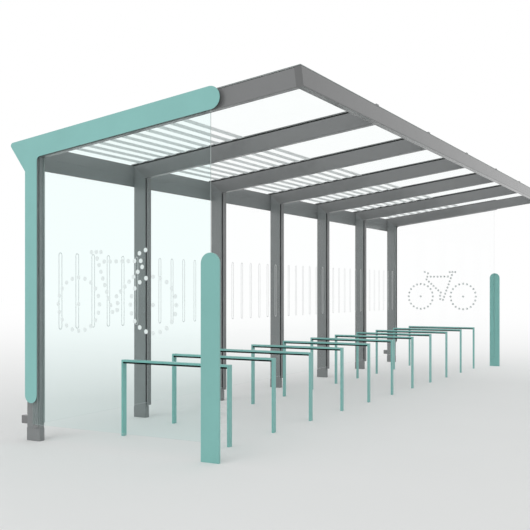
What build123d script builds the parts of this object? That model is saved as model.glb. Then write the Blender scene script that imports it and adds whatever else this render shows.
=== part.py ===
from build123d import *
import os
from math import cos, radians, sin

# Long bike shelter: mitred tube frames carry a glass roof, a glass rear wall and glass ends.
# Millimetres, +Z up. X runs along the shelter and the open side faces -Y. While the pieces are
# made, X = 0 is the middle of the first post, Y = 0 the rear face of the posts and Z = 0 the
# ground. The last step moves everything so that the origin is at the middle of the footprint.

# Frame
bay_count = 6
end_bay_length = 1518.0
inner_bay_length = 1491.0
tube_width = 60.0
post_depth = 150.0
rafter_depth = 150.0
beam_depth = 155.0
beam_width = 60.0
tube_wall = 5.0
tube_radius = 8.0
eaves_height = 2607.0
roof_slope = 7.2
roof_length = 2711.0
shoe_height = 110.0
shoe_wall = 3.0
cap_plate = 4.0

# Gutter behind the posts
gutter_height = 219.0
gutter_reach = 130.0
gutter_lip = 28.0
gutter_flange = 22.0
gutter_sheet = 3.0

# Rain outlets low on the end posts
spout_width = 44.0
spout_height = 70.0
spout_wall = 4.0
spout_length = 70.0
spout_bottom = 143.0

# Roof glass and what holds it
roof_glass_thick = 8.0
roof_glass_overhang = 32.0
roof_glass_setback = 5.0
glass_joint = 10.0
roof_seal = 3.0
roof_seal_width = 56.0
cap_strip_width = 56.0
cap_strip_thick = 12.0
cap_strip_radius = 4.0

# Rear wall glass
rear_glass_thick = 8.0
rear_glass_bottom = 160.0
rear_glass_head_gap = 6.0
rear_glass_lap = 14.0
rear_seal = 4.0
rear_seal_width = 52.0
clamp_width = 50.0
clamp_thick = 20.0
clamp_bottom = 132.0
clamp_radius = 3.0

# Glass ends
end_glass_thick = 8.0
end_glass_bottom = 148.0
end_glass_front = 1926.0
end_glass_rear = 92.0
end_glass_top_drop = 92.0
end_seal = 14.0
end_seal_width = 36.0
end_seal_edge = 8.0
end_seal_foot = 30.0

# Cover plates outside the glass ends
cover_thick = 6.0
cover_gap = 14.0
cover_rise = 27.0
cover_band_width = 180.0
cover_front = 2021.0
cover_leg_rear = 19.0
cover_leg_width = 138.0
cover_leg_bottom = 334.0
cover_tail_reach = 170.0
cover_tail_radius = 25.0
cover_notch_drop = 33.0
cover_notch_radius = 6.0
cover_inner_radius = 40.0
stud_radius = 12.0
stud_drop = 45.0
stud_count_band = 4
stud_band_start = 300.0
stud_count_leg = 4
stud_tail_y = 70.0

# Bollards at the front edge of the glass ends
bollard_width = 165.0
bollard_thick = 20.0
bollard_height = 1605.0
bollard_lap = 6.0

# Bike stands
stand_count = 11
stand_pitch = 789.0
stand_bar_width = 52.0
stand_bar_thick = 18.0
stand_height = 689.0
stand_rear = 602.0
stand_front = 1737.0
stand_rubber = 14.0

# Places that follow from the sizes above
shelter_run = 2 * end_bay_length + (bay_count - 2) * inner_bay_length
frame_left = -tube_width / 2
frame_right = shelter_run + tube_width / 2
wall_left = frame_left + tube_width - rear_glass_lap
wall_right = frame_right - tube_width + rear_glass_lap
slope_cos = cos(radians(roof_slope))
slope_sin = sin(radians(roof_slope))
rafter_end = roof_length - beam_width
gutter_bottom = eaves_height - gutter_height
roof_glass_top = roof_seal + roof_glass_thick
rear_glass_front = -(post_depth + rear_seal + rear_glass_thick)
end_stack = end_seal + end_glass_thick + cover_gap + cover_thick


def roof_point(along, above):
    """Side-view point: distance up the slope from the eaves corner, and height above the steel."""
    return (above * slope_sin - along * slope_cos, eaves_height + along * slope_sin + above * slope_cos)


def roof_along(y, above):
    """Distance up the slope at which a line parallel to the roof reaches the depth y."""
    return (above * slope_sin - y) / slope_cos


def under_roof(y, drop):
    """Side-view point at the depth y, a drop below the roof line."""
    return roof_point(roof_along(y, -drop), -drop)


def roof_strip(start, end, low, high):
    """Side-view corners of a strip that lies parallel to the roof."""
    return [roof_point(start, low), roof_point(end, low), roof_point(end, high), roof_point(start, high)]


def side_prism(points, left, right):
    """Solid with the given side view, from one X to another."""
    outline = make_face(Polyline(*points, close=True))
    return extrude(Plane.YZ.offset(left) * outline, right - left)


def block(x_range, y_range, z_range):
    """Upright block between two corners."""
    size = [high - low for low, high in (x_range, y_range, z_range)]
    middle = [(high + low) / 2 for low, high in (x_range, y_range, z_range)]
    return Pos(*middle) * Box(*size)


def tube(plane, width, depth, length):
    """Rectangular hollow section with rounded outer corners, along the plane's normal."""
    outer = RectangleRounded(width, depth, tube_radius)
    inner = Rectangle(width - 2 * tube_wall, depth - 2 * tube_wall)
    return extrude(plane * (outer - inner), length)


def mirrored(solid):
    """The same piece at the other end of the shelter."""
    return mirror(solid, Plane.YZ.offset(shelter_run / 2))


def both_ends(solids):
    """Pieces of the left end together with their mirror images."""
    return solids + [mirrored(solid) for solid in solids]


# Mitre between post and rafter: from the outer corner of the frame to the inner one
mitre_outer = roof_point(0, 0)
mitre_inner = under_roof(-post_depth, rafter_depth)


def post_x(index):
    """Middle of a post: the two end bays are a little longer than the inner ones."""
    if index == 0:
        return 0.0
    if index == bay_count:
        return shelter_run
    return end_bay_length + (index - 1) * inner_bay_length


def make_post(index):
    x = post_x(index)
    base = Plane(origin=(x, -post_depth / 2, 0), x_dir=(1, 0, 0), z_dir=(0, 0, 1))
    side_view = [(0, 0), mitre_outer, mitre_inner, (-post_depth, 0)]
    post = tube(base, tube_width, post_depth, eaves_height + tube_width)
    post &= side_prism(side_view, x - tube_width, x + tube_width)
    if index in (0, bay_count):
        bore = spout_width - 2 * spout_wall
        z_range = (spout_bottom + spout_wall, spout_bottom + spout_height - spout_wall)
        post -= block((x - bore / 2, x + bore / 2), (-post_depth / 2, post_depth / 2), z_range)
    return post


def make_shoe(index):
    """Sleeve round the foot of a post."""
    x = post_x(index)
    inner = RectangleRounded(tube_width, post_depth, tube_radius)
    outer = offset(inner, shoe_wall)
    return Pos(x, -post_depth / 2, 0) * extrude(outer - inner, shoe_height)


def make_rafter(index):
    x = post_x(index)
    origin = roof_point(-post_depth, -rafter_depth / 2)
    base = Plane(origin=(x, *origin), x_dir=(1, 0, 0), z_dir=(0, -slope_cos, slope_sin))
    side_view = [mitre_outer, roof_point(rafter_end, 0), roof_point(rafter_end, -rafter_depth), mitre_inner]
    rafter = tube(base, tube_width, rafter_depth, roof_length + post_depth)
    return rafter & side_prism(side_view, x - tube_width, x + tube_width)


def make_front_beam():
    origin = roof_point(rafter_end + beam_width / 2, -beam_depth / 2)
    base = Plane(origin=(frame_left, *origin), x_dir=(0, -slope_cos, slope_sin), z_dir=(1, 0, 0))
    return tube(base, beam_width, beam_depth, frame_right - frame_left)


def make_beam_end_plate():
    """Plate let into the open left end of the front beam."""
    origin = roof_point(rafter_end + beam_width / 2, -beam_depth / 2)
    base = Plane(origin=(frame_left, *origin), x_dir=(0, -slope_cos, slope_sin), z_dir=(1, 0, 0))
    inner = Rectangle(beam_width - 2 * tube_wall, beam_depth - 2 * tube_wall)
    return extrude(base * inner, cap_plate)


def make_gutter():
    """Folded trough: flange at the eaves, upright front wall, slanted floor, rear lip and end plates."""
    front_top = (0, eaves_height)
    front_bottom = (0, gutter_bottom)
    lip_top = (gutter_reach, eaves_height - roof_seal)
    lip_bottom = (gutter_reach, eaves_height - roof_seal - gutter_lip)
    folds = Polyline((gutter_flange, eaves_height), front_top, front_bottom, lip_bottom, lip_top)
    section = make_face(offset(folds, gutter_sheet, side=Side.LEFT, closed=True))
    trough = extrude(Plane.YZ.offset(frame_left) * section, frame_right - frame_left)
    end_outline = [front_bottom, front_top, lip_top, lip_bottom]
    end_plate = side_prism(end_outline, frame_left, frame_left + gutter_sheet)
    return trough + end_plate + mirrored(end_plate)


def make_spout():
    """Upright rain outlet behind the first post."""
    outer = Rectangle(spout_width, spout_height)
    inner = Rectangle(spout_width - 2 * spout_wall, spout_height - 2 * spout_wall)
    base = Plane(origin=(0, 0, spout_bottom + spout_height / 2), x_dir=(1, 0, 0), z_dir=(0, 1, 0))
    return extrude(base * (outer - inner), spout_length)


def glass_span(bay, left_end, right_end):
    """X range of a bay's pane: joints in the middle of the posts, the end panes run further."""
    left = left_end if bay == 0 else post_x(bay) + glass_joint / 2
    right = right_end if bay == bay_count - 1 else post_x(bay + 1) - glass_joint / 2
    return left, right


def make_roof_glass(bay):
    left, right = glass_span(bay, frame_left, frame_right)
    front = roof_length - roof_glass_setback
    return side_prism(roof_strip(-roof_glass_overhang, front, roof_seal, roof_glass_top), left, right)


def make_rear_glass(bay):
    left, right = glass_span(bay, wall_left, wall_right)
    top = mitre_inner[1] - rear_glass_head_gap
    y_range = (rear_glass_front, rear_glass_front + rear_glass_thick)
    return block((left, right), y_range, (rear_glass_bottom, top))


def rafter_seal(index):
    """Rubber on top of a rafter, with a web between the two panes that meet there."""
    x = post_x(index)
    left = x - roof_seal_width / 2
    seal = side_prism(roof_strip(0, rafter_end, 0, roof_seal), left, left + roof_seal_width)
    if 0 < index < bay_count:
        web = roof_strip(0, rafter_end, roof_seal, roof_glass_top)
        seal += side_prism(web, x - glass_joint / 2, x + glass_joint / 2)
    return seal


def make_roof_seal():
    """Rubber ladder under the roof glass: on each rafter, the front beam and the gutter's flange."""
    beam_strip = roof_strip(rafter_end, roof_length - roof_glass_setback, 0, roof_seal)
    eaves_strip = [roof_point(0, 0), roof_point(0, roof_seal),
                   roof_point(-gutter_flange, roof_seal), (gutter_flange, eaves_height)]
    seal = side_prism(beam_strip, frame_left, frame_right)
    seal += side_prism(eaves_strip, frame_left, frame_right)
    for index in range(bay_count + 1):
        seal += rafter_seal(index)
    return seal


def make_cap_strip(index):
    """Strip that clamps the roof glass down on a rafter."""
    x = post_x(index)
    section = Rectangle(cap_strip_width, cap_strip_thick)
    top_corners = section.vertices().sort_by(Axis.Y)[-2:]
    section = fillet(top_corners, cap_strip_radius)
    start = roof_point(-roof_glass_overhang, roof_glass_top + cap_strip_thick / 2)
    base = Plane(origin=(x, *start), x_dir=(-1, 0, 0), z_dir=(0, -slope_cos, slope_sin))
    return extrude(base * section, roof_glass_overhang + roof_length - roof_glass_setback)


def rear_seal_span(index):
    """X range of the rubber on a post: on an end post only where the pane laps it."""
    if index == 0:
        return wall_left, frame_left + tube_width
    if index == bay_count:
        return frame_right - tube_width, wall_right
    return post_x(index) - rear_seal_width / 2, post_x(index) + rear_seal_width / 2


def make_rear_seal(index):
    """Rubber on the front of a post, with a web between the two panes that meet there."""
    x = post_x(index)
    z_range = (rear_glass_bottom, mitre_inner[1] - rear_glass_head_gap)
    glass_rear = rear_glass_front + rear_glass_thick
    seal = block(rear_seal_span(index), (glass_rear, -post_depth), z_range)
    if 0 < index < bay_count:
        seal += block((x - glass_joint / 2, x + glass_joint / 2), (rear_glass_front, glass_rear), z_range)
    return seal


def make_clamp_strip(index):
    """Upright strip that clamps the rear glass to a post."""
    x = post_x(index)
    section = Rectangle(clamp_width, clamp_thick)
    front_corners = section.vertices().sort_by(Axis.Y)[:2]
    section = fillet(front_corners, clamp_radius)
    strip = extrude(section, mitre_inner[1] - clamp_bottom)
    return Pos(x, rear_glass_front - clamp_thick / 2, clamp_bottom) * strip


def make_end_glass():
    """Pane at the left end: upright edges, level foot, head parallel to the roof."""
    rear, front = -end_glass_rear, -end_glass_front
    side_view = [(rear, end_glass_bottom), under_roof(rear, end_glass_top_drop),
                 under_roof(front, end_glass_top_drop), (front, end_glass_bottom)]
    outside = frame_left - end_seal - end_glass_thick
    return side_prism(side_view, outside, outside + end_glass_thick)


def end_seal_strips(bottom, left, right):
    """Glazing bars along the head and the post edge of an end pane."""
    top_drop = end_glass_top_drop + end_seal_edge
    rear = -(end_glass_rear + end_seal_edge)
    front = -(end_glass_front - end_seal_edge)
    low_drop = top_drop + end_seal_width
    leg_front = rear - end_seal_width
    head = [under_roof(rear, top_drop), under_roof(front, top_drop),
            under_roof(front, low_drop), under_roof(rear, low_drop)]
    leg = [(rear, bottom), (leg_front, bottom), under_roof(leg_front, top_drop), under_roof(rear, top_drop)]
    return side_prism(head, left, right) + side_prism(leg, left, right)


def make_end_seals():
    """Glazing bars inside and outside the left pane. The inner one runs on below the pane."""
    glass_inside = frame_left - end_seal
    glass_outside = glass_inside - end_glass_thick
    leg_foot = cover_leg_bottom + cover_leg_width / 2
    inner = end_seal_strips(end_glass_bottom - end_seal_foot, glass_inside, frame_left)
    outer = end_seal_strips(leg_foot, glass_outside - cover_gap, glass_outside)
    return [inner, outer]


def make_end_cover():
    """Plate over the left end frame: round-ended roof band, round-ended leg, tail over the gutter."""
    band_radius = cover_band_width / 2
    leg_radius = cover_leg_width / 2
    band_middle = cover_rise - band_radius
    front_y = band_radius - cover_front
    front_along = roof_along(front_y, band_middle)
    leg_front = -(cover_leg_rear + cover_leg_width)
    leg_foot = cover_leg_bottom + leg_radius
    tail = under_roof(cover_tail_reach, -cover_rise)
    band_top = roof_point(front_along, cover_rise)
    band_tip = roof_point(front_along + band_radius, band_middle)
    band_bottom = roof_point(front_along, cover_rise - cover_band_width)
    corner = under_roof(leg_front, cover_band_width - cover_rise)
    foot_tip = (-(cover_leg_rear + leg_radius), cover_leg_bottom)
    notch = (-cover_leg_rear, gutter_bottom - cover_notch_drop)
    outline = Curve() + [
        Line(tail, band_top),
        ThreePointArc(band_top, band_tip, band_bottom),
        Line(band_bottom, corner),
        Line(corner, (leg_front, leg_foot)),
        ThreePointArc((leg_front, leg_foot), foot_tip, (-cover_leg_rear, leg_foot)),
        Line((-cover_leg_rear, leg_foot), notch),
        Line(notch, tail),
    ]
    face = make_face(outline)
    rounded = {tail: cover_tail_radius, corner: cover_inner_radius, notch: cover_notch_radius}
    for point, radius in rounded.items():
        vertex = face.vertices().sort_by_distance((*point, 0))[0]
        face = fillet(vertex, radius)
    outside = frame_left - end_stack
    return extrude(Plane.YZ.offset(outside) * face, cover_thick)


def make_cover_studs():
    """Round distance studs between the left cover and the frame, clear of the glass."""
    stud_y = -(end_glass_rear / 2)
    leg_start = cover_leg_bottom + cover_leg_width
    leg_step = (mitre_inner[1] - rafter_depth - leg_start) / (stud_count_leg - 1)
    leg_places = [(stud_y, leg_start + leg_step * step) for step in range(stud_count_leg)]
    band_step = (cover_front - cover_band_width - stud_band_start) / (stud_count_band - 1)
    band_alongs = [stud_band_start + band_step * step for step in range(stud_count_band)]
    band_places = [roof_point(along, -stud_drop) for along in band_alongs]
    tail_place = (stud_tail_y, eaves_height - stud_drop)
    length = end_stack - cover_thick
    studs = []
    for y, z in leg_places + band_places + [tail_place]:
        base = Plane(origin=(frame_left - length, y, z), x_dir=(0, 1, 0), z_dir=(1, 0, 0))
        studs.append(extrude(base * Circle(stud_radius), length))
    return studs


def make_bollard():
    """Flat post with a round head, against the outside of the left pane's front edge."""
    radius = bollard_width / 2
    shoulder = bollard_height - radius
    middle = -(end_glass_front + bollard_lap)
    front = middle - radius
    rear = middle + radius
    outline = Curve() + [
        Line((rear, 0), (front, 0)),
        Line((front, 0), (front, shoulder)),
        ThreePointArc((front, shoulder), (middle, bollard_height), (rear, shoulder)),
        Line((rear, shoulder), (rear, 0)),
    ]
    glass_outside = frame_left - end_seal - end_glass_thick
    return extrude(Plane.YZ.offset(glass_outside - bollard_thick) * make_face(outline), bollard_thick)


def stand_x(index):
    """Middle of a stand: the row is centred in the shelter."""
    return shelter_run / 2 + (index - (stand_count - 1) / 2) * stand_pitch


def make_stand(index):
    """Upside-down U of flat bar with square corners."""
    rear, front = -stand_rear, -stand_front
    inner_rear, inner_front = rear - stand_bar_thick, front + stand_bar_thick
    inner_top = stand_height - stand_bar_thick
    side_view = [(rear, 0), (rear, stand_height), (front, stand_height), (front, 0),
                 (inner_front, 0), (inner_front, inner_top), (inner_rear, inner_top), (inner_rear, 0)]
    left = stand_x(index) - stand_bar_width / 2
    return side_prism(side_view, left, left + stand_bar_width)


def make_stand_rubber(index):
    """Rubber strip under a stand's top bar."""
    x = stand_x(index)
    top = stand_height - stand_bar_thick
    return block((x - stand_bar_width / 2, x + stand_bar_width / 2),
                 (-stand_front + stand_bar_thick, -stand_rear - stand_bar_thick), (top - stand_rubber, top))


def make_parts():
    """Every node's name with its solid or solids."""
    parts = {}
    posts = range(bay_count + 1)
    inner_posts = range(1, bay_count)
    bays = range(bay_count)
    for index in posts:
        parts[f"post_{index + 1}"] = make_post(index)
        parts[f"rafter_{index + 1}"] = make_rafter(index)
    for index in range(stand_count):
        parts[f"bike_stand_{index + 1}"] = make_stand(index)
    ends = {"end_glass": make_end_glass(), "end_cover": make_end_cover(), "bollard": make_bollard()}
    for name, solid in ends.items():
        parts[f"{name}_left"] = solid
        parts[f"{name}_right"] = mirrored(solid)
    parts["front_beam"] = make_front_beam()
    parts["gutter"] = make_gutter()
    parts["roof_seal"] = make_roof_seal()
    groups = {
        "post_shoes": [make_shoe(index) for index in posts],
        "roof_glass": [make_roof_glass(bay) for bay in bays],
        "roof_cap_strips": [make_cap_strip(index) for index in inner_posts],
        "rear_glass": [make_rear_glass(bay) for bay in bays],
        "rear_wall_seals": [make_rear_seal(index) for index in posts],
        "rear_clamp_strips": [make_clamp_strip(index) for index in inner_posts],
        "front_beam_end_plates": both_ends([make_beam_end_plate()]),
        "rain_spouts": both_ends([make_spout()]),
        "end_seals": both_ends(make_end_seals()),
        "cover_studs": both_ends(make_cover_studs()),
        "stand_rubbers": [make_stand_rubber(index) for index in range(stand_count)],
    }
    for name, solids in groups.items():
        parts[name] = Compound(children=solids)
    return parts


def footprint_middle(parts):
    """Middle of the footprint of all pieces."""
    boxes = [solid.bounding_box() for solid in parts.values()]
    x = (min(box.min.X for box in boxes) + max(box.max.X for box in boxes)) / 2
    y = (min(box.min.Y for box in boxes) + max(box.max.Y for box in boxes)) / 2
    return x, y


def main():
    os.makedirs("parts", exist_ok=True)
    parts = make_parts()
    middle_x, middle_y = footprint_middle(parts)
    for name, solid in parts.items():
        export_step(Pos(-middle_x, -middle_y, 0) * solid, f"parts/{name}.step")


main()
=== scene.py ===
from math import cos, pi, radians, sin

import bpy
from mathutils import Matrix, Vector


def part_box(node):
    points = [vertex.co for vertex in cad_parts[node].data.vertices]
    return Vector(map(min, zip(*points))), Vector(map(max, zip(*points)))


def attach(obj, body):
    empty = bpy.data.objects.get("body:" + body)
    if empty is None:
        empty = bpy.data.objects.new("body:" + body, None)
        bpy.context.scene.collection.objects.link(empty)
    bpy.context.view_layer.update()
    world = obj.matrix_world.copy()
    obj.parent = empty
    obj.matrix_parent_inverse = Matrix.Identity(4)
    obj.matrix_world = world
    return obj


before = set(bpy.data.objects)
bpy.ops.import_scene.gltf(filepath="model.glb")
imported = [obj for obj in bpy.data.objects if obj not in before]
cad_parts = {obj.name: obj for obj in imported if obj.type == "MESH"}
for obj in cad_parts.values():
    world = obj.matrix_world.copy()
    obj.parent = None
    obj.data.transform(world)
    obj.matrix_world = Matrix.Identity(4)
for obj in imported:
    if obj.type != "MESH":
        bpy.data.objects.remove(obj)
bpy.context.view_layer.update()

# Long bicycle shelter: powder-coated steel frames with glass roof, rear wall and ends.
# Metres, +Z up. The open side faces -Y and the left end is at -X.

# Places read from the frame
POST_NAMES = [f"post_{number}" for number in range(1, 8)]
POST_BOXES = [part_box(name) for name in POST_NAMES]
POST_MIDDLES = [(low.x + high.x) / 2 for low, high in POST_BOXES]
POST_REAR = POST_BOXES[0][1].y
POST_WIDTH = POST_BOXES[0][1].x - POST_BOXES[0][0].x
EAVES_HEIGHT = POST_BOXES[0][1].z
REAR_GLASS_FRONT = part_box("rear_glass")[0].y
LEFT_GLASS_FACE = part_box("end_glass_left")[0].x
RIGHT_GLASS_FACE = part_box("end_glass_right")[1].x
END_GLASS_MIDDLE_Y = (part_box("end_glass_left")[0].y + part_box("end_glass_left")[1].y) / 2

# Sizes of the roof that the printed bands and the screws follow
ROOF_SLOPE = radians(7.2)
ROOF_SEAL = 0.003
ROOF_GLASS = 0.008
CAP_STRIP = 0.012

# Printed bands under the rear half of the roof glass
PRINT_FILM = 0.0005
BAND_COUNT = 10
BAND_FIRST = 0.137
BAND_PITCH = 0.1331
BAND_WIDTH = 0.0645
BAND_CLEARANCE = 0.042

# Printed loops on the rear glass
LOOP_COUNT = 6
LOOP_PITCH = 0.2215
LOOP_WIDTH = 0.038
LOOP_LOW = 0.968
LOOP_HIGH = 1.652
LOOP_LINE = 0.007
LOOP_SHIFT = 0.012
LOOP_END_STEPS = 6

# Dotted bicycle on the end glass. Its lines are depths from the middle and heights above the hubs
DOT_RADIUS = 0.0187
DOT_SIDES = 16
DOT_PITCH = 0.060
BICYCLE_SHIFT = 0.011
HUB_HEIGHT = 1.200
WHEEL_RADIUS = 0.2250
WHEEL_DOTS = 20
WHEEL_REACH = 0.386
BICYCLE_LINES = [
    [(0.246, 0.434), (0.145, 0.434)],
    [(0.186, 0.381), (0.024, -0.061)],
    [(-0.025, -0.045), (-0.031, 0.007), (-0.014, 0.066), (-0.278, 0.305)],
    [(0.112, 0.354), (-0.264, 0.354)],
    [(-0.251, 0.415), (-0.312, 0.440)],
]

# Glass: the share that its faces mirror, and the look of its edges. The walls' upright edges are polished.
# Their bottom edges are painted lighter, as painted light for the light carried in the panes. Their tops
# and the roof's edges are dull
GLASS_MIRROR = 0.004
EDGE_COVER = 0.95
EDGE_TINT = (0.72, 0.88, 0.84)
POLISHED_EDGE = (0.47, 0.52, 0.51)
GROUND_EDGE = (0.16, 0.18, 0.18)
# Painted light: the walls' bottom edges, lighter than the floor
PAINTED_LIGHT_EDGE = (0.80, 0.84, 0.83)

# Height that parts the walls' bottom edges from their tops
TOPS_ABOVE = 1.3

# Distance along X from the middle, beyond which the wall seals lie on the end posts and match them
END_POST_REACH = 4.4

# Screws along the roof cap strips
SCREW_COUNT = 6
SCREW_RADIUS = 0.006
SCREW_TOP_SHARE = 0.7
SCREW_HEIGHT = 0.004
SCREW_MARGIN = 0.12
SCREW_SIDES = 16

# Directions
ALONG = (1, 0, 0)
BACKWARDS = (0, 1, 0)
UPWARDS = (0, 0, 1)
SQUARE_TO_ROOF = (0, sin(ROOF_SLOPE), cos(ROOF_SLOPE))

# Where a face begins to count as square to an axis and where it fully does, as the cosine of its tilt
SQUARE_FROM = 0.5
SQUARE_FULL = 0.9

# A face looks inwards where its place along X times its direction along X is less than this
INWARDS_BELOW = -0.5

# Colours of the finishes
GREY = (0.200, 0.204, 0.206)
# Posts and gutter: the frame grey painted lighter, as painted light from the bright floor
LIT_POST_GREY = (0.228, 0.240, 0.242)
TEAL = (0.246, 0.528, 0.500)
# Bollards, bike stands and cover studs: the teal painted darker, as painted shade low down
SHADED_LOW_TEAL = (0.218, 0.485, 0.452)
# Edges of the end cover plates: dark teal, painted shade
SHADED_PLATE_EDGE = (0.045, 0.085, 0.080)
WALL_RUBBER = (0.012, 0.012, 0.013)
ROOF_RUBBER = (0.060, 0.065, 0.064)
STAND_RUBBER = (0.002, 0.002, 0.002)
LEFT_TINT = (0.962, 1.0, 0.996)
RIGHT_TINT = (0.998, 1.0, 1.0)
REAR_TINT = (0.995, 1.0, 0.999)
ROOF_TINT = (0.987, 0.999, 0.997)
BAND_GREY = (0.87, 0.88, 0.88)
LOOP_WHITE = (0.86, 0.87, 0.87)
DOT_WHITE = (0.86, 0.93, 0.925)
# Inward side of the dots: painted darker, as painted shade
SHADED_DOT_INSIDE = (0.72, 0.75, 0.75)
DULL_STEEL = (0.42, 0.43, 0.44)
BRIGHT_STEEL = (0.60, 0.61, 0.62)

# Share by which a colour wanders: the paint's both ways, that of prints and bright edges only darker
COLOUR_WANDER = 0.03

# Roughness of the finishes: how far the paint's wanders both ways, and the ranges of the others
GLOSS_WANDER = 0.03
RUBBER_ROUGHNESS = (0.55, 0.7)
EDGE_ROUGHNESS = (0.2, 0.35)
STEEL_ROUGHNESS = (0.28, 0.4)

# Middle part of a noise, which is stretched over the range of a finish
NOISE_LOW = 0.3
NOISE_HIGH = 0.7

# Unevenness of the finishes: scale and detail of each noise
PAINT_MOTTLE = (3.0, 4.0)
PAINT_FLAKES = (420.0, 2.0)
PAINT_GLOSS = (9.0, 3.0)
PAINT_PEEL = (260.0, 2.0)
RUBBER_BLOOM = (14.0, 5.0)
RUBBER_GLOSS = (60.0, 2.0)
RUBBER_GRAIN = (500.0, 2.0)
GLASS_WAVE = (1.6, 1.0)
EDGE_GRIND = (90.0, 2.0)
EDGE_GLOSS = (240.0, 2.0)
PRINT_GRAIN = (180.0, 3.0)
STEEL_SCUFF = (300.0, 4.0)
STEEL_GLOSS = (500.0, 2.0)
FLOOR_CLOUD = (0.8, 3.0)

# Floor: matt inside an oval round the shelter's front. Further out the matt share falls exponentially, by
# the fade length, and the floor is white after the given number of these lengths
FLOOR_RADIUS = 90.0
FLOOR_CORNERS = 96
FLOOR_COLOUR = (0.797, 0.807, 0.803)
FLOOR_SQUEEZE = (1.0, 0.85, 1.0)
FLOOR_MIDDLE = (-2.2, -2.21, 0.0)
FLOOR_MATT_RADIUS = 4.4
FLOOR_FADE_LENGTH = 7.5
FLOOR_FADE_LENGTHS = 10

# Light: strength of the even surroundings on the shelter, and one wide lamp
AMBIENT = 0.82
LAMP_STRENGTH = 0.56
LAMP_DIRECTION = (-1.0, 0.0, 0.8)
LAMP_ANGLE = radians(50)

# Camera: level, at eye height
CAMERA_PLACE = (-9.9059, -4.0617, 1.3228)
CAMERA_HEADING = 0.50205
CAMERA_LENS = 56.229
CAMERA_SHIFT = 0.04637


def socket_values(node, values):
    """Sets a node's inputs by name."""
    for name, value in values.items():
        node.inputs[name].default_value = value
    return node


def add_node(tree, kind, values=None, **settings):
    """A node with its settings and the values of its inputs."""
    node = tree.nodes.new(kind)
    for name, value in settings.items():
        setattr(node, name, value)
    return socket_values(node, values or {})


def link(tree, source, target):
    """Joins an output to an input."""
    tree.links.new(source, target)


def feed(tree, values, sockets):
    """Gives each input an output or a number, or leaves it as it is where there is none."""
    for value, socket in zip(values, sockets):
        if isinstance(value, (int, float)):
            socket.default_value = value
        elif value is not None:
            link(tree, value, socket)


def computed(tree, operation, first, second=None):
    """The result of one sum on outputs or numbers."""
    node = add_node(tree, "ShaderNodeMath", operation=operation)
    feed(tree, (first, second), node.inputs)
    return node.outputs["Value"]


def vector_of(tree, x=None, y=None, z=None):
    """A vector from outputs or numbers."""
    parts = add_node(tree, "ShaderNodeCombineXYZ")
    feed(tree, (x, y, z), parts.inputs)
    return parts.outputs["Vector"]


def mixed(tree, share, first, second):
    """Two shaders in one: the first at share 0, the second at share 1."""
    both = add_node(tree, "ShaderNodeMixShader")
    feed(tree, (share, first, second), both.inputs)
    return both.outputs["Shader"]


def bump(tree, grain, strength, distance):
    """A fine relief from a noise."""
    relief = add_node(tree, "ShaderNodeBump", {"Strength": strength, "Distance": distance})
    link(tree, object_noise(tree, grain), relief.inputs["Height"])
    return relief.outputs["Normal"]


def empty_material(name):
    """A material whose tree is still empty."""
    material = bpy.data.materials.new(name)
    material.use_nodes = True
    material.node_tree.nodes.clear()
    return material, material.node_tree


def finish_material(tree, shader):
    """Ends a material's tree."""
    output = add_node(tree, "ShaderNodeOutputMaterial")
    link(tree, shader, output.inputs["Surface"])


def object_noise(tree, grain):
    """Noise in the object's own coordinates, from its scale and detail."""
    scale, detail = grain
    place = add_node(tree, "ShaderNodeTexCoord")
    noise = add_node(tree, "ShaderNodeTexNoise", {"Scale": scale, "Detail": detail})
    link(tree, place.outputs["Object"], noise.inputs["Vector"])
    return noise.outputs["Fac"]


def spread(tree, grain, low=0.0, high=1.0):
    """A noise, with its middle part stretched over a range."""
    ramp = add_node(tree, "ShaderNodeMapRange",
                    {"From Min": NOISE_LOW, "From Max": NOISE_HIGH, "To Min": low, "To Max": high})
    link(tree, object_noise(tree, grain), ramp.inputs["Value"])
    return ramp.outputs["Result"]


def colour_between(tree, factor, first, second):
    """A mix of two fixed colours."""
    mix = add_node(tree, "ShaderNodeMix", data_type="RGBA")
    mix.inputs["A"].default_value = (*first, 1)
    mix.inputs["B"].default_value = (*second, 1)
    link(tree, factor, mix.inputs["Factor"])
    return mix.outputs["Result"]


def scaled(colour, share):
    """A share of a colour."""
    return tuple(channel * share for channel in colour)


def uneven(tree, factor, colour, low=1.0 - COLOUR_WANDER, high=1.0):
    """A colour that wanders between two shares of its strength."""
    return colour_between(tree, factor, scaled(colour, low), scaled(colour, high))


def either_colour(tree, factor, first, second):
    """A mix of two linked colours: the first at factor 0, the second at factor 1."""
    mix = add_node(tree, "ShaderNodeMix", data_type="RGBA")
    link(tree, factor, mix.inputs["Factor"])
    link(tree, first, mix.inputs["A"])
    link(tree, second, mix.inputs["B"])
    return mix.outputs["Result"]


def beyond(tree, axis, reach):
    """1 further than the reach from the middle, either way along an axis."""
    place = add_node(tree, "ShaderNodeTexCoord")
    along = add_node(tree, "ShaderNodeVectorMath", {1: axis}, operation="DOT_PRODUCT")
    link(tree, place.outputs["Object"], along.inputs[0])
    return computed(tree, "GREATER_THAN", computed(tree, "ABSOLUTE", along.outputs["Value"]), reach)


def outward_share(tree):
    """0 on faces that look along X towards the middle of the shelter, 1 on all others."""
    place = add_node(tree, "ShaderNodeTexCoord")
    product = add_node(tree, "ShaderNodeVectorMath", operation="MULTIPLY")
    link(tree, place.outputs["Object"], product.inputs[0])
    link(tree, place.outputs["Normal"], product.inputs[1])
    along = add_node(tree, "ShaderNodeVectorMath", {1: ALONG}, operation="DOT_PRODUCT")
    link(tree, product.outputs["Vector"], along.inputs[0])
    return computed(tree, "GREATER_THAN", along.outputs["Value"], INWARDS_BELOW)


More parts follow.
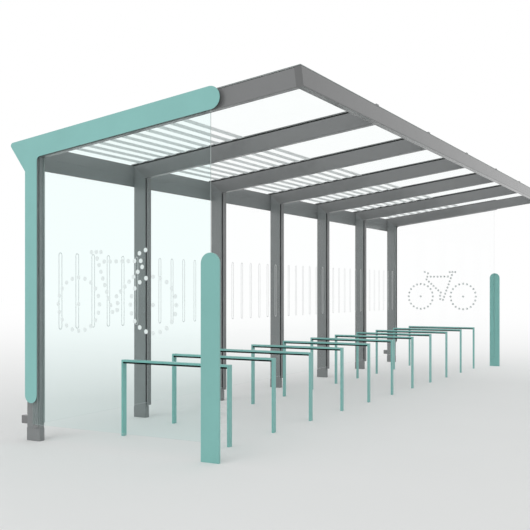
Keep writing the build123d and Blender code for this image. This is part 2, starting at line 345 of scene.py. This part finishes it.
def facing_share(tree, axis):
    """1 on faces square to an axis, 0 on the narrow edges round them."""
    place = add_node(tree, "ShaderNodeTexCoord")
    facing = add_node(tree, "ShaderNodeVectorMath", {1: axis}, operation="DOT_PRODUCT")
    link(tree, place.outputs["Normal"], facing.inputs[0])
    share = add_node(tree, "ShaderNodeMapRange", {"From Min": SQUARE_FROM, "From Max": SQUARE_FULL})
    link(tree, computed(tree, "ABSOLUTE", facing.outputs["Value"]), share.inputs["Value"])
    return share.outputs["Result"]


def powder_coat(name, colour, roughness, flake, back_colour=None, edge_colour=None):
    """Baked powder paint: orange peel, faint mottling and fine flakes.

    Plates and bars at the ends also have colours for the side that looks inwards and for their edges,
    which paint shade on the plates and light on the bars' edges.
    """
    material, tree = empty_material(name)
    paint = add_node(tree, "ShaderNodeBsdfPrincipled")
    mottle = spread(tree, PAINT_MOTTLE)
    body = uneven(tree, mottle, colour, high=1.0 + COLOUR_WANDER)
    if back_colour:
        back = uneven(tree, mottle, back_colour, high=1.0 + COLOUR_WANDER)
        body = either_colour(tree, outward_share(tree), back, body)
        edge = uneven(tree, mottle, edge_colour, high=1.0 + COLOUR_WANDER)
        body = either_colour(tree, facing_share(tree, ALONG), edge, body)
    flakes = spread(tree, PAINT_FLAKES, 1.0 - flake, 1.0 + flake)
    speckled = add_node(tree, "ShaderNodeVectorMath", operation="SCALE")
    link(tree, body, speckled.inputs["Vector"])
    link(tree, flakes, speckled.inputs["Scale"])
    link(tree, speckled.outputs["Vector"], paint.inputs["Base Color"])
    gloss = spread(tree, PAINT_GLOSS, roughness - GLOSS_WANDER, roughness + GLOSS_WANDER)
    link(tree, gloss, paint.inputs["Roughness"])
    link(tree, bump(tree, PAINT_PEEL, strength=0.12, distance=0.0004), paint.inputs["Normal"])
    finish_material(tree, paint.outputs["BSDF"])
    return material


def rubber(name, colour, end_colour=None):
    """Matt extruded rubber with fine drag lines. The end colour is for strips on the end posts."""
    material, tree = empty_material(name)
    skin = add_node(tree, "ShaderNodeBsdfPrincipled", {"Specular IOR Level": 0.04})
    bloom = spread(tree, RUBBER_BLOOM)
    tone = uneven(tree, bloom, colour, low=1.0, high=1.6)
    if end_colour:
        ends = uneven(tree, bloom, end_colour, low=1.0, high=1.1)
        tone = either_colour(tree, beyond(tree, ALONG, END_POST_REACH), tone, ends)
    link(tree, tone, skin.inputs["Base Color"])
    link(tree, spread(tree, RUBBER_GLOSS, *RUBBER_ROUGHNESS), skin.inputs["Roughness"])
    link(tree, bump(tree, RUBBER_GRAIN, strength=0.2, distance=0.0003), skin.inputs["Normal"])
    finish_material(tree, skin.outputs["BSDF"])
    return material


def pane_glass(name, face_tint, face_axis, edge_colour):
    """Toughened glass: clear through its faces with a faint mirror, denser at its edges."""
    material, tree = empty_material(name)
    clear = add_node(tree, "ShaderNodeBsdfTransparent", {"Color": (*face_tint, 1)})
    mirror = add_node(tree, "ShaderNodeBsdfGlossy", {"Color": (1, 1, 1, 1), "Roughness": 0.02})
    link(tree, bump(tree, GLASS_WAVE, strength=0.05, distance=0.002), mirror.inputs["Normal"])
    face = mixed(tree, GLASS_MIRROR, clear.outputs["BSDF"], mirror.outputs["BSDF"])
    green = add_node(tree, "ShaderNodeBsdfTransparent", {"Color": (*EDGE_TINT, 1)})
    ground = add_node(tree, "ShaderNodeBsdfPrincipled", {"Specular IOR Level": 0.3})
    grind = spread(tree, EDGE_GRIND)
    sides = uneven(tree, grind, edge_colour, low=1.0, high=1.1)
    tops = uneven(tree, grind, GROUND_EDGE, low=1.0, high=1.1)
    # Bottom edges get painted light, lighter than the tops
    bottoms = uneven(tree, grind, PAINTED_LIGHT_EDGE)
    level = either_colour(tree, beyond(tree, UPWARDS, TOPS_ABOVE), bottoms, tops)
    tone = either_colour(tree, facing_share(tree, UPWARDS), sides, level)
    link(tree, tone, ground.inputs["Base Color"])
    link(tree, spread(tree, EDGE_GLOSS, *EDGE_ROUGHNESS), ground.inputs["Roughness"])
    edge = mixed(tree, EDGE_COVER, green.outputs["BSDF"], ground.outputs["BSDF"])
    finish_material(tree, mixed(tree, facing_share(tree, face_axis), edge, face))
    return material


def glass_print(name, colour, glow, shine=0.2, inner_colour=None):
    """Fired ceramic print: a thin matt coat that lets some light through, and may be darker inside as
    painted shade.
    """
    material, tree = empty_material(name)
    coat = add_node(tree, "ShaderNodeBsdfPrincipled", {"Roughness": 0.6, "Specular IOR Level": shine})
    grain = spread(tree, PRINT_GRAIN)
    tone = uneven(tree, grain, colour)
    if inner_colour:
        inside = uneven(tree, grain, inner_colour)
        tone = either_colour(tree, outward_share(tree), inside, tone)
    link(tree, tone, coat.inputs["Base Color"])
    through = add_node(tree, "ShaderNodeBsdfTranslucent")
    link(tree, tone, through.inputs["Color"])
    finish_material(tree, mixed(tree, glow, coat.outputs["BSDF"], through.outputs["BSDF"]))
    return material


def brushed_steel(name):
    """Stainless screw heads."""
    material, tree = empty_material(name)
    steel = add_node(tree, "ShaderNodeBsdfPrincipled", {"Metallic": 1.0})
    scuff = spread(tree, STEEL_SCUFF)
    link(tree, colour_between(tree, scuff, DULL_STEEL, BRIGHT_STEEL), steel.inputs["Base Color"])
    link(tree, spread(tree, STEEL_GLOSS, *STEEL_ROUGHNESS), steel.inputs["Roughness"])
    finish_material(tree, steel.outputs["BSDF"])
    return material


def white_for_sight(tree):
    """1 for rays that show a surface directly, in a mirror or through glass."""
    path = add_node(tree, "ShaderNodeLightPath")
    direct = computed(tree, "MAXIMUM", path.outputs["Is Camera Ray"], path.outputs["Is Glossy Ray"])
    return computed(tree, "MAXIMUM", direct, path.outputs["Is Transmission Ray"])


def floor_material(name):
    """Pale matt floor that fades to white away from the shelter."""
    material, tree = empty_material(name)
    matt = add_node(tree, "ShaderNodeBsdfDiffuse")
    link(tree, uneven(tree, spread(tree, FLOOR_CLOUD), FLOOR_COLOUR, low=0.99), matt.inputs["Color"])
    glow = add_node(tree, "ShaderNodeEmission", {"Color": (1, 1, 1, 1), "Strength": 1.0})
    place = add_node(tree, "ShaderNodeTexCoord")
    squeezed = add_node(tree, "ShaderNodeVectorMath", {1: FLOOR_SQUEEZE}, operation="MULTIPLY")
    link(tree, place.outputs["Object"], squeezed.inputs[0])
    reach = add_node(tree, "ShaderNodeVectorMath", {1: FLOOR_MIDDLE}, operation="DISTANCE")
    link(tree, squeezed.outputs["Vector"], reach.inputs[0])
    lengths = add_node(tree, "ShaderNodeMapRange",
                       {"From Min": FLOOR_MATT_RADIUS,
                        "From Max": FLOOR_MATT_RADIUS + FLOOR_FADE_LENGTHS * FLOOR_FADE_LENGTH,
                        "To Max": -FLOOR_FADE_LENGTHS})
    link(tree, reach.outputs["Value"], lengths.inputs["Value"])
    matt_share = computed(tree, "EXPONENT", lengths.outputs["Result"])
    faded = computed(tree, "SUBTRACT", 1.0, matt_share)
    seen = computed(tree, "MULTIPLY", faded, white_for_sight(tree))
    finish_material(tree, mixed(tree, seen, matt.outputs["BSDF"], glow.outputs["Emission"]))
    return material


def make_floor():
    """Round pale floor, wide enough to reach the horizon."""
    turns = [2 * pi * step / FLOOR_CORNERS for step in range(FLOOR_CORNERS)]
    outline = [(FLOOR_RADIUS * cos(turn), FLOOR_RADIUS * sin(turn), 0.0) for turn in turns]
    mesh = bpy.data.meshes.new("studio_floor")
    mesh.from_pydata(outline, [], [list(range(FLOOR_CORNERS))])
    floor = bpy.data.objects.new("studio_floor", mesh)
    bpy.context.scene.collection.objects.link(floor)
    mesh.materials.append(floor_material("pale_floor"))


def make_light():
    """Even white surroundings and one wide soft lamp."""
    world = bpy.data.worlds.new("white_studio")
    bpy.context.scene.world = world
    world.use_nodes = True
    tree = world.node_tree
    tree.nodes.clear()
    strength = add_node(tree, "ShaderNodeMapRange", {"To Min": AMBIENT, "To Max": 1.0})
    link(tree, white_for_sight(tree), strength.inputs["Value"])
    sky = add_node(tree, "ShaderNodeBackground", {"Color": (1, 1, 1, 1)})
    link(tree, strength.outputs["Result"], sky.inputs["Strength"])
    output = add_node(tree, "ShaderNodeOutputWorld")
    link(tree, sky.outputs["Background"], output.inputs["Surface"])
    data = bpy.data.lights.new("wide_lamp", "SUN")
    data.energy = LAMP_STRENGTH
    data.angle = LAMP_ANGLE
    lamp = bpy.data.objects.new("wide_lamp", data)
    lamp.rotation_euler = Vector(LAMP_DIRECTION).to_track_quat("Z", "Y").to_euler()
    bpy.context.scene.collection.objects.link(lamp)


def make_camera():
    """Eye-level view along the front from beyond the left end."""
    data = bpy.data.cameras.new("photo_camera")
    data.lens = CAMERA_LENS
    data.sensor_width = 36.0
    data.shift_y = CAMERA_SHIFT
    data.clip_end = 500.0
    camera = bpy.data.objects.new("photo_camera", data)
    camera.location = CAMERA_PLACE
    camera.rotation_euler = (pi / 2, 0, CAMERA_HEADING - pi / 2)
    bpy.context.scene.collection.objects.link(camera)
    bpy.context.scene.camera = camera


def dress(name, material):
    """Gives a CAD node its finish."""
    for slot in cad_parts[name].material_slots:
        slot.material = material


def named_tree(name, inputs):
    """A geometry tree with one geometry input and the named values."""
    tree = bpy.data.node_groups.new(name, "GeometryNodeTree")
    tree.interface.new_socket("Geometry", in_out="INPUT", socket_type="NodeSocketGeometry")
    for label, kind in inputs.items():
        tree.interface.new_socket(label, in_out="INPUT", socket_type=kind)
    tree.interface.new_socket("Geometry", in_out="OUTPUT", socket_type="NodeSocketGeometry")
    return tree, add_node(tree, "NodeGroupInput"), add_node(tree, "NodeGroupOutput")


def close_tree(tree, source, group_in, group_out):
    """Ends a tree with plain faces in the chosen material."""
    plain = add_node(tree, "GeometryNodeRealizeInstances")
    link(tree, source, plain.inputs["Geometry"])
    finish = add_node(tree, "GeometryNodeSetMaterial")
    link(tree, plain.outputs["Geometry"], finish.inputs["Geometry"])
    link(tree, group_in.outputs["Material"], finish.inputs["Material"])
    link(tree, finish.outputs["Geometry"], group_out.inputs["Geometry"])


def negative(tree, value):
    """An output with its sign changed."""
    return computed(tree, "MULTIPLY", value, -1.0)


def place_on(tree, points, shape, rotation=None, scale=None):
    """A shape on every point."""
    placed = add_node(tree, "GeometryNodeInstanceOnPoints")
    link(tree, points, placed.inputs["Points"])
    link(tree, shape, placed.inputs["Instance"])
    if rotation is not None:
        link(tree, rotation, placed.inputs["Rotation"])
    if scale is not None:
        link(tree, scale, placed.inputs["Scale"])
    return placed.outputs["Instances"]


def grown(name, base_data, tree, values):
    """The plain mesh that a geometry tree makes from a base."""
    piece = bpy.data.objects.new(name, base_data)
    bpy.context.scene.collection.objects.link(piece)
    modifier = piece.modifiers.new(name, "NODES")
    modifier.node_group = tree
    for item in tree.interface.items_tree:
        if item.in_out == "INPUT" and item.name in values:
            modifier[item.identifier] = values[item.name]
    graph = bpy.context.evaluated_depsgraph_get()
    mesh = bpy.data.meshes.new_from_object(piece.evaluated_get(graph), depsgraph=graph)
    piece.modifiers.clear()
    bpy.data.objects.remove(piece)
    mesh.name = name
    finished = bpy.data.objects.new(name, mesh)
    bpy.context.scene.collection.objects.link(finished)
    return finished


def point_cloud(name, places, reaches=None):
    """Loose vertices, each with its reach where reaches are given."""
    mesh = bpy.data.meshes.new(name)
    mesh.from_pydata(places, [], [])
    if reaches:
        attribute = mesh.attributes.new("reach", "FLOAT", "POINT")
        attribute.data.foreach_set("value", reaches)
    return mesh


def roof_place(along, above):
    """Depth and height of a point: distance up the slope from the eaves, and height above the steel."""
    y = POST_REAR + above * sin(ROOF_SLOPE) - along * cos(ROOF_SLOPE)
    z = EAVES_HEIGHT + along * sin(ROOF_SLOPE) + above * cos(ROOF_SLOPE)
    return y, z


def band_tree():
    """Rows of printed bands: each point of the base is the middle of a bay at the eaves."""
    numbers = {"Count": "NodeSocketInt", "First": "NodeSocketFloat", "Pitch": "NodeSocketFloat",
               "Width": "NodeSocketFloat", "Film": "NodeSocketFloat", "Slope": "NodeSocketFloat",
               "Material": "NodeSocketMaterial"}
    tree, group_in, group_out = named_tree("printed_bands", numbers)
    rows = add_node(tree, "GeometryNodeMeshLine")
    link(tree, group_in.outputs["Count"], rows.inputs["Count"])
    link(tree, vector_of(tree, y=negative(tree, group_in.outputs["First"])), rows.inputs["Start Location"])
    link(tree, vector_of(tree, y=negative(tree, group_in.outputs["Pitch"])), rows.inputs["Offset"])
    band = add_node(tree, "GeometryNodeMeshCube")
    size = vector_of(tree, 1.0, group_in.outputs["Width"], group_in.outputs["Film"])
    link(tree, size, band.inputs["Size"])
    ladder = place_on(tree, rows.outputs["Mesh"], band.outputs["Mesh"])
    reach = add_node(tree, "GeometryNodeInputNamedAttribute", {"Name": "reach"}, data_type="FLOAT")
    turned = vector_of(tree, x=negative(tree, group_in.outputs["Slope"]))
    stretched = vector_of(tree, reach.outputs["Attribute"], 1.0, 1.0)
    roof = place_on(tree, group_in.outputs["Geometry"], ladder, turned, stretched)
    close_tree(tree, roof, group_in, group_out)
    return tree


def make_bands(material):
    """Grey bands fired on the underside of the roof glass."""
    y, z = roof_place(0.0, ROOF_SEAL - PRINT_FILM / 2)
    bays = list(zip(POST_MIDDLES[:-1], POST_MIDDLES[1:]))
    places = [((left + right) / 2, y, z) for left, right in bays]
    reaches = [right - left - POST_WIDTH - 2 * BAND_CLEARANCE for left, right in bays]
    values = {"Count": BAND_COUNT, "First": BAND_FIRST, "Pitch": BAND_PITCH, "Width": BAND_WIDTH,
              "Film": PRINT_FILM, "Slope": ROOF_SLOPE, "Material": material}
    return grown("roof_glass_bands", point_cloud("bay_middles", places, reaches), band_tree(), values)


def loop_tree():
    """Rows of round-ended loops: each point of the base is the middle of a bay's row."""
    numbers = {"Count": "NodeSocketInt", "Pitch": "NodeSocketFloat", "Width": "NodeSocketFloat",
               "Height": "NodeSocketFloat", "Line": "NodeSocketFloat", "Film": "NodeSocketFloat",
               "Row Start": "NodeSocketFloat", "Material": "NodeSocketMaterial"}
    tree, group_in, group_out = named_tree("printed_loops", numbers)
    row = add_node(tree, "GeometryNodeMeshLine")
    link(tree, group_in.outputs["Count"], row.inputs["Count"])
    link(tree, vector_of(tree, x=group_in.outputs["Row Start"]), row.inputs["Start Location"])
    link(tree, vector_of(tree, x=group_in.outputs["Pitch"]), row.inputs["Offset"])
    outline = add_node(tree, "GeometryNodeCurvePrimitiveQuadrilateral")
    link(tree, group_in.outputs["Width"], outline.inputs["Width"])
    link(tree, group_in.outputs["Height"], outline.inputs["Height"])
    half_width = computed(tree, "MULTIPLY", group_in.outputs["Width"], 0.5)
    rounded = add_node(tree, "GeometryNodeFilletCurve", {"Count": LOOP_END_STEPS, "Limit Radius": True},
                       mode="POLY")
    link(tree, outline.outputs["Curve"], rounded.inputs["Curve"])
    link(tree, half_width, rounded.inputs["Radius"])
    section = add_node(tree, "GeometryNodeCurvePrimitiveQuadrilateral")
    link(tree, group_in.outputs["Line"], section.inputs["Width"])
    link(tree, group_in.outputs["Film"], section.inputs["Height"])
    line = add_node(tree, "GeometryNodeCurveToMesh")
    link(tree, rounded.outputs["Curve"], line.inputs["Curve"])
    link(tree, section.outputs["Curve"], line.inputs["Profile Curve"])
    upright = vector_of(tree, pi / 2, 0.0, 0.0)
    loops = place_on(tree, row.outputs["Mesh"], line.outputs["Mesh"], upright)
    wall = place_on(tree, group_in.outputs["Geometry"], loops)
    close_tree(tree, wall, group_in, group_out)
    return tree


def make_loops(material):
    """Round-ended loops printed on the inner face of the rear glass."""
    y = REAR_GLASS_FRONT - PRINT_FILM / 2
    z = (LOOP_LOW + LOOP_HIGH) / 2
    bays = zip(POST_MIDDLES[:-1], POST_MIDDLES[1:])
    places = [((left + right) / 2 + LOOP_SHIFT, y, z) for left, right in bays]
    values = {"Count": LOOP_COUNT, "Pitch": LOOP_PITCH, "Width": LOOP_WIDTH,
              "Height": LOOP_HIGH - LOOP_LOW, "Line": LOOP_LINE, "Film": PRINT_FILM,
              "Row Start": -LOOP_PITCH * (LOOP_COUNT - 1) / 2, "Material": material}
    return grown("rear_glass_loops", point_cloud("loop_rows", places), loop_tree(), values)


def dot_tree():
    """Dots along the base's lines and round two wheels, in the plane x = 0."""
    numbers = {"Dot Radius": "NodeSocketFloat", "Dot Pitch": "NodeSocketFloat", "Film": "NodeSocketFloat",
               "Wheel Radius": "NodeSocketFloat", "Wheel Dots": "NodeSocketInt",
               "Wheel Reach": "NodeSocketFloat", "Material": "NodeSocketMaterial"}
    tree, group_in, group_out = named_tree("dotted_bicycle", numbers)
    run = add_node(tree, "GeometryNodeSplineLength")
    steps = computed(tree, "DIVIDE", run.outputs["Length"], group_in.outputs["Dot Pitch"])
    dot_count = computed(tree, "ADD", computed(tree, "ROUND", steps), 1.0)
    spaced = add_node(tree, "GeometryNodeResampleCurve", mode="COUNT")
    link(tree, group_in.outputs["Geometry"], spaced.inputs["Curve"])
    link(tree, dot_count, spaced.inputs["Count"])
    lines = add_node(tree, "GeometryNodeCurveToPoints", mode="EVALUATED")
    link(tree, spaced.outputs["Curve"], lines.inputs["Curve"])
    hubs = add_node(tree, "GeometryNodeMeshLine", {"Count": 2}, mode="END_POINTS")
    hub_reach = group_in.outputs["Wheel Reach"]
    link(tree, vector_of(tree, y=hub_reach), hubs.inputs["Start Location"])
    link(tree, vector_of(tree, y=negative(tree, hub_reach)), hubs.inputs["Offset"])
    rim = add_node(tree, "GeometryNodeMeshCircle")
    link(tree, group_in.outputs["Wheel Dots"], rim.inputs["Vertices"])
    link(tree, group_in.outputs["Wheel Radius"], rim.inputs["Radius"])
    upright = vector_of(tree, 0.0, pi / 2, 0.0)
    rims = place_on(tree, hubs.outputs["Mesh"], rim.outputs["Mesh"], upright)
    plain_rims = add_node(tree, "GeometryNodeRealizeInstances")
    link(tree, rims, plain_rims.inputs["Geometry"])
    dot = add_node(tree, "GeometryNodeMeshCylinder", {"Vertices": DOT_SIDES})
    link(tree, group_in.outputs["Dot Radius"], dot.inputs["Radius"])
    link(tree, group_in.outputs["Film"], dot.inputs["Depth"])
    every = add_node(tree, "GeometryNodeJoinGeometry")
    for points in (lines.outputs["Points"], hubs.outputs["Mesh"], plain_rims.outputs["Geometry"]):
        dots = place_on(tree, points, dot.outputs["Mesh"], upright)
        link(tree, dots, every.inputs["Geometry"])
    close_tree(tree, every.outputs["Geometry"], group_in, group_out)
    return tree


def bicycle_lines(name):
    """The bicycle's frame, saddle and handlebar as open lines in the plane x = 0."""
    curve = bpy.data.curves.new(name, "CURVE")
    curve.dimensions = "3D"
    for line in BICYCLE_LINES:
        spline = curve.splines.new("POLY")
        spline.points.add(len(line) - 1)
        for point, (y, z) in zip(spline.points, line):
            point.co = (0.0, y, z, 1.0)
    return curve


def make_bicycle(name, face_x, side, tree, material):
    """Dotted bicycle on the outside of an end pane. Side is 1 at the left end and -1 at the right."""
    values = {"Dot Radius": DOT_RADIUS, "Dot Pitch": DOT_PITCH, "Film": PRINT_FILM,
              "Wheel Radius": WHEEL_RADIUS, "Wheel Dots": WHEEL_DOTS, "Wheel Reach": WHEEL_REACH,
              "Material": material}
    piece = grown(name, bicycle_lines(name), tree, values)
    middle_x = face_x - side * PRINT_FILM / 2
    middle_y = END_GLASS_MIDDLE_Y + BICYCLE_SHIFT
    for vertex in piece.data.vertices:
        x, y, z = vertex.co
        vertex.co = (middle_x + side * x, middle_y + side * y, HUB_HEIGHT + z)
    return piece


def screw_tree():
    """Low domed screws along the slope: each point of the base is the lowest screw of a strip."""
    numbers = {"Count": "NodeSocketInt", "Pitch": "NodeSocketFloat", "Radius": "NodeSocketFloat",
               "Height": "NodeSocketFloat", "Slope": "NodeSocketFloat", "Material": "NodeSocketMaterial"}
    tree, group_in, group_out = named_tree("strip_screws", numbers)
    row = add_node(tree, "GeometryNodeMeshLine")
    link(tree, group_in.outputs["Count"], row.inputs["Count"])
    link(tree, vector_of(tree, y=negative(tree, group_in.outputs["Pitch"])), row.inputs["Offset"])
    head = add_node(tree, "GeometryNodeMeshCone", {"Vertices": SCREW_SIDES})
    top_radius = computed(tree, "MULTIPLY", group_in.outputs["Radius"], SCREW_TOP_SHARE)
    link(tree, top_radius, head.inputs["Radius Top"])
    link(tree, group_in.outputs["Radius"], head.inputs["Radius Bottom"])
    link(tree, group_in.outputs["Height"], head.inputs["Depth"])
    screws = place_on(tree, row.outputs["Mesh"], head.outputs["Mesh"])
    turned = vector_of(tree, x=negative(tree, group_in.outputs["Slope"]))
    strips = place_on(tree, group_in.outputs["Geometry"], screws, turned)
    close_tree(tree, strips, group_in, group_out)
    return tree


def make_screws(material):
    """Screws that hold the cap strips down on the rafters."""
    low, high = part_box("roof_cap_strips")
    strip_length = (high.y - low.y) / cos(ROOF_SLOPE)
    pitch = (strip_length - 2 * SCREW_MARGIN) / (SCREW_COUNT - 1)
    first = (POST_REAR - high.y) / cos(ROOF_SLOPE) + SCREW_MARGIN
    y, z = roof_place(first, ROOF_SEAL + ROOF_GLASS + CAP_STRIP)
    places = [(x, y, z) for x in POST_MIDDLES[1:-1]]
    values = {"Count": SCREW_COUNT, "Pitch": pitch, "Radius": SCREW_RADIUS, "Height": SCREW_HEIGHT,
              "Slope": ROOF_SLOPE, "Material": material}
    return grown("cap_strip_screws", point_cloud("lowest_screws", places), screw_tree(), values)


def settle(piece):
    """Fixes a finished piece to the shelter."""
    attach(piece, "root")


# Finishes
# Front beam: the frame grey painted darker, as painted shade
shaded_beam_grey = scaled(GREY, 0.72)
# Glazing bars: the frame grey painted lighter, a little on their faces and much more on their edges, as
# painted light against the shade between plate and post
lit_bar_face = scaled(GREY, 1.09)
lit_bar_side = scaled(GREY, 1.70)
# Wall seals on the end posts: a grey painted lighter than the frame grey, as painted light to match the
# lit posts
lit_end_seal_grey = scaled(GREY, 1.25)
grey_paint = powder_coat("grey_powder_coat", GREY, roughness=0.24, flake=0.03)
# Posts and gutter get the lighter grey, which is painted light
lit_post_paint = powder_coat("lit_post_powder_coat", LIT_POST_GREY, roughness=0.24, flake=0.03)
shaded_beam_paint = powder_coat("shaded_beam_powder_coat", shaded_beam_grey, roughness=0.17, flake=0.03)
lit_bar_paint = powder_coat("lit_glazing_bar_powder_coat", lit_bar_face, roughness=0.30, flake=0.03,
                        back_colour=lit_bar_face, edge_colour=lit_bar_side)
# Teal for the low parts, darkened as painted shade
shaded_teal_paint = powder_coat("shaded_teal_powder_coat", SHADED_LOW_TEAL, roughness=0.34, flake=0.02)
# Cover plates: teal outside, their inward side painted grey and their edges dark teal, both painted shade
cover_paint = powder_coat("cover_powder_coat", TEAL, roughness=0.34, flake=0.02,
                          back_colour=GREY, edge_colour=SHADED_PLATE_EDGE)
wall_rubber = rubber("wall_seal_rubber", WALL_RUBBER, end_colour=lit_end_seal_grey)
roof_rubber = rubber("roof_seal_rubber", ROOF_RUBBER)
stand_rubber = rubber("stand_rubber", STAND_RUBBER)
left_pane = pane_glass("left_pane_glass", LEFT_TINT, ALONG, POLISHED_EDGE)
right_pane = pane_glass("right_pane_glass", RIGHT_TINT, ALONG, POLISHED_EDGE)
wall_pane = pane_glass("rear_pane_glass", REAR_TINT, BACKWARDS, POLISHED_EDGE)
roof_pane = pane_glass("roof_pane_glass", ROOF_TINT, SQUARE_TO_ROOF, GROUND_EDGE)
band_print = glass_print("grey_band_print", BAND_GREY, glow=0.45)
loop_print = glass_print("white_loop_print", LOOP_WHITE, glow=0.2)
dot_print = glass_print("white_dot_print", DOT_WHITE, glow=0.05, shine=0.5, inner_colour=SHADED_DOT_INSIDE)
screw_steel = brushed_steel("screw_steel")

# Finishes by the start of a node's name. All other nodes are grey
finishes = {"rear_wall_seals": wall_rubber, "roof_seal": roof_rubber, "stand_rubbers": stand_rubber,
            "end_glass_left": left_pane, "end_glass_right": right_pane, "rear_glass": wall_pane,
            "roof_glass": roof_pane, "end_cover": cover_paint, "cover_studs": shaded_teal_paint,
            "bike_stand": shaded_teal_paint, "bollard": shaded_teal_paint, "post_": lit_post_paint, "gutter": lit_post_paint,
            "front_beam": shaded_beam_paint, "end_seals": lit_bar_paint}
for name in sorted(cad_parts):
    matching = [finish for start, finish in finishes.items() if name.startswith(start)]
    dress(name, matching[0] if matching else grey_paint)

# Prints and screws
settle(make_bands(band_print))
settle(make_loops(loop_print))
bicycle_dots = dot_tree()
settle(make_bicycle("bicycle_dots_left", LEFT_GLASS_FACE, 1.0, bicycle_dots, dot_print))
settle(make_bicycle("bicycle_dots_right", RIGHT_GLASS_FACE, -1.0, bicycle_dots, dot_print))
settle(make_screws(screw_steel))

# Studio
make_floor()
make_light()
make_camera()
bpy.context.scene.view_settings.view_transform = "Standard"
